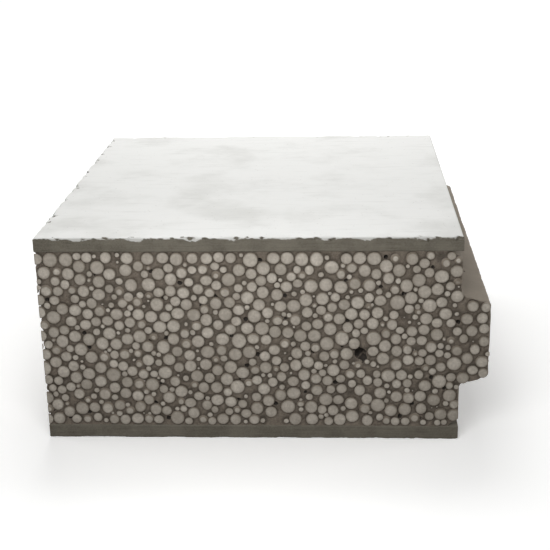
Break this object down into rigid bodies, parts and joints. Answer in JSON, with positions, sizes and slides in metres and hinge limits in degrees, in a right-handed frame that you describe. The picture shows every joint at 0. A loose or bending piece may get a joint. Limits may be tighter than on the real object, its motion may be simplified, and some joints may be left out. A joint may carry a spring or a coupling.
{
  "type": "insulated sandwich panel",
  "caption": "Short block of insulated wall panel: thin fibre-cement boards on a thick polystyrene-bead concrete core, with a tapered tongue along the jointing edge.",
  "frame": {"origin": "middle of the underside, measured over everything including the tongue", "axes": "+Z through the thickness, +X out of the tongue, +Y along the length of the panel between the two cross cuts"},
  "size_m": [0.156, 0.155, 0.075],
  "materials": {
    "fibre_cement": "matte",
    "bead_concrete": "matte",
    "polystyrene_bead": "matte"
  },
  "bodies": {
    "root": {"bottom_face_board": "fibre_cement", "bead_concrete_core": "bead_concrete", "top_face_board": "fibre_cement"}
  },
  "joints": []
}
